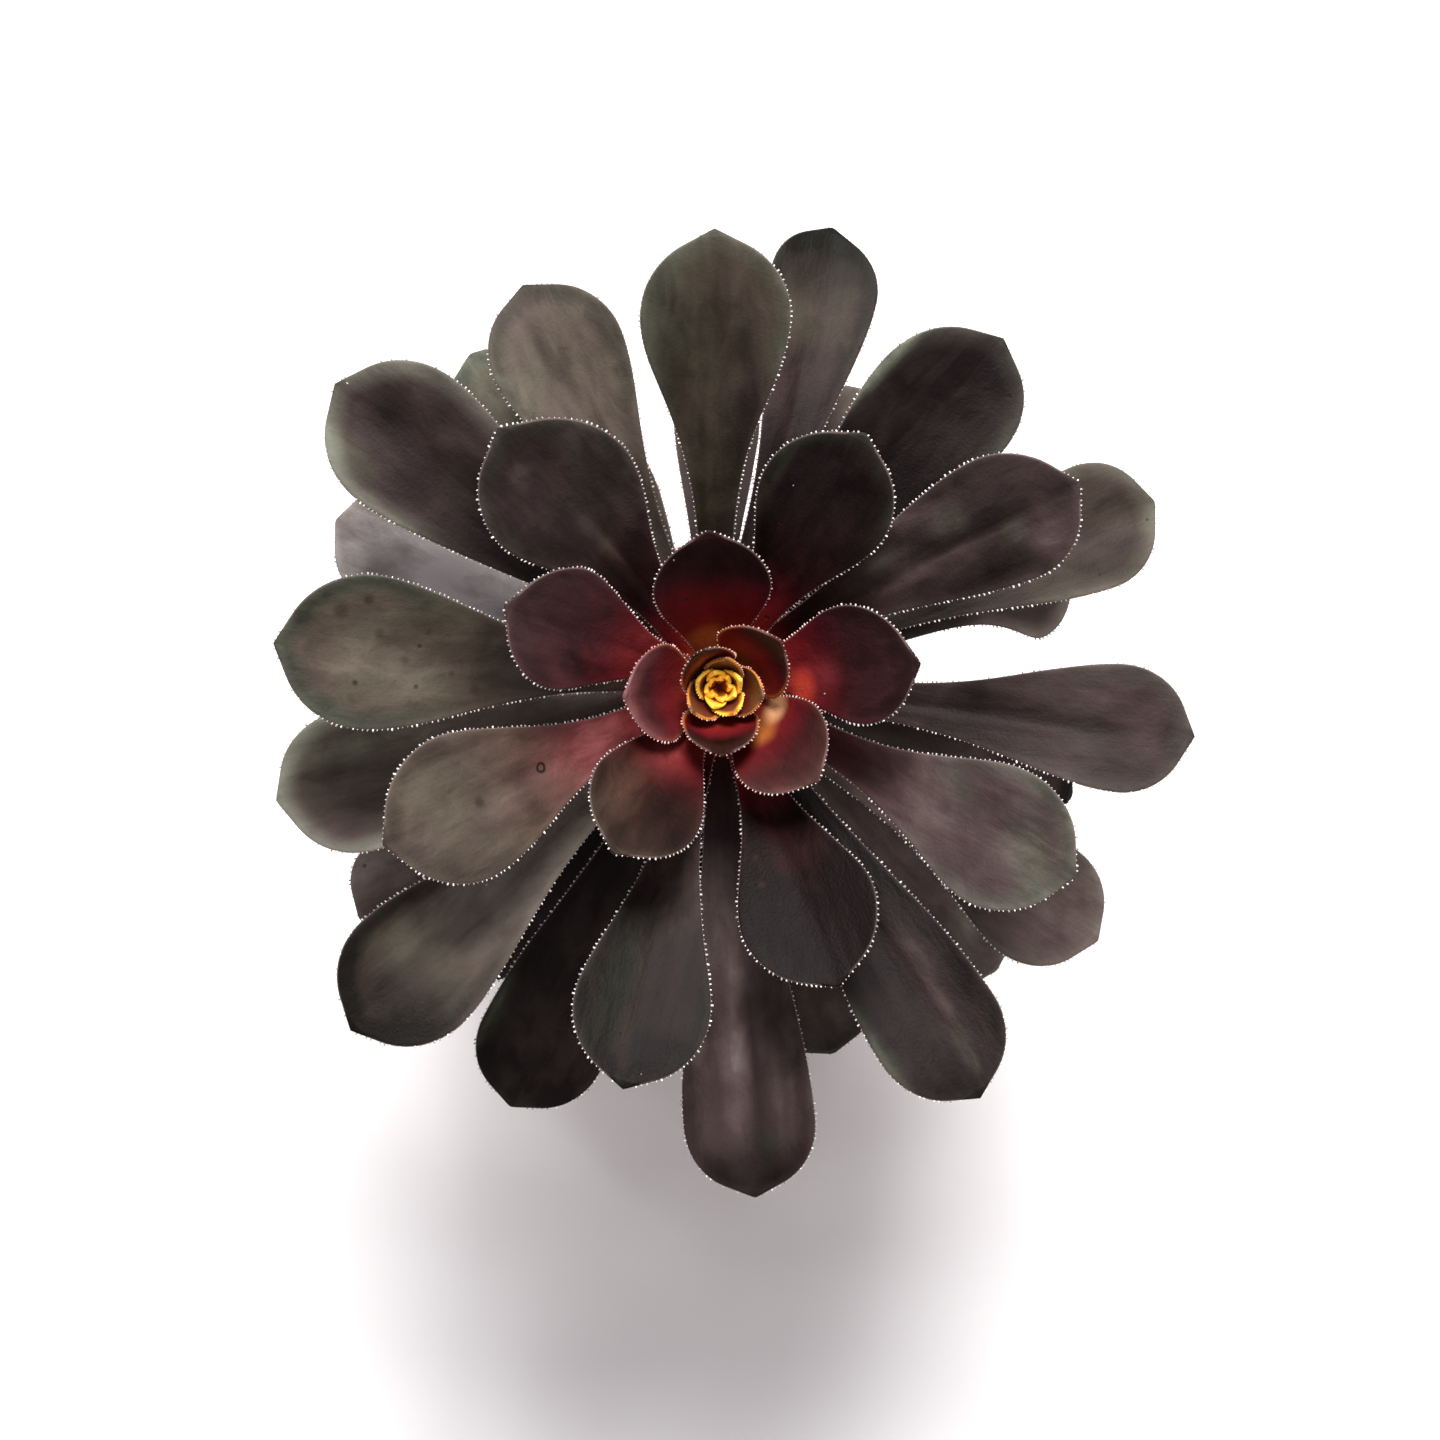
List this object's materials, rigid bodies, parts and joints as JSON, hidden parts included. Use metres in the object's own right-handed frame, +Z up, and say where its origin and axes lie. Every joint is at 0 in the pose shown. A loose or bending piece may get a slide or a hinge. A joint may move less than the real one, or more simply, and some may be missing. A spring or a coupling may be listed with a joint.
{
  "type": "potted aeonium",
  "caption": "Dark rosette of spoon-shaped succulent leaves on a bare woody stem, standing in soil in a plain tapered clay pot.",
  "frame": {"origin": "centre of the pot's flat base, on the pot's axis", "axes": "+Z up along the pot's axis; the rosette nods a little towards -Y"},
  "size_m": [0.1698, 0.1851, 0.2241],
  "materials": {
    "leaf": "satin dark purple-brown",
    "young_leaf": "satin crimson going dark at the tip",
    "bud": "satin yellow",
    "bark": "matte grey-brown with leaf scars",
    "soil": "matte crumbly",
    "clay": "matte unglazed terracotta"
  },
  "bodies": {
    "root": {"leaf_01": "young_leaf", "leaf_02": "young_leaf", "leaf_03": "young_leaf", "leaf_04": "young_leaf", "leaf_05": "young_leaf", "leaf_06": "leaf", "leaf_07": "leaf", "leaf_08": "leaf", "leaf_09": "leaf", "leaf_10": "leaf", "leaf_11": "leaf", "leaf_12": "leaf", "leaf_13": "leaf", "leaf_14": "leaf", "leaf_15": "leaf", "leaf_16": "leaf", "leaf_17": "leaf", "leaf_18": "leaf", "leaf_19": "leaf", "leaf_20": "leaf", "leaf_21": "leaf", "leaf_22": "leaf", "leaf_23": "leaf", "leaf_24": "leaf", "leaf_25": "leaf", "leaf_26": "leaf", "leaf_27": "leaf", "leaf_28": "leaf", "leaf_29": "leaf", "leaf_30": "leaf", "leaf_31": "leaf", "leaf_32": "leaf", "leaf_33": "leaf", "leaf_34": "leaf", "leaf_35": "leaf", "leaf_36": "leaf", "leaf_37": "leaf", "leaf_38": "leaf", "leaf_39": "leaf", "leaf_40": "leaf", "leaf_41": "leaf", "leaf_42": "leaf", "leaf_43": "leaf", "leaf_44": "leaf", "leaf_45": "leaf", "leaf_46": "leaf", "leaf_47": "leaf", "leaf_48": "leaf", "crown": "bud", "stem": "bark", "soil": "soil", "pot": "clay"}
  },
  "joints": []
}
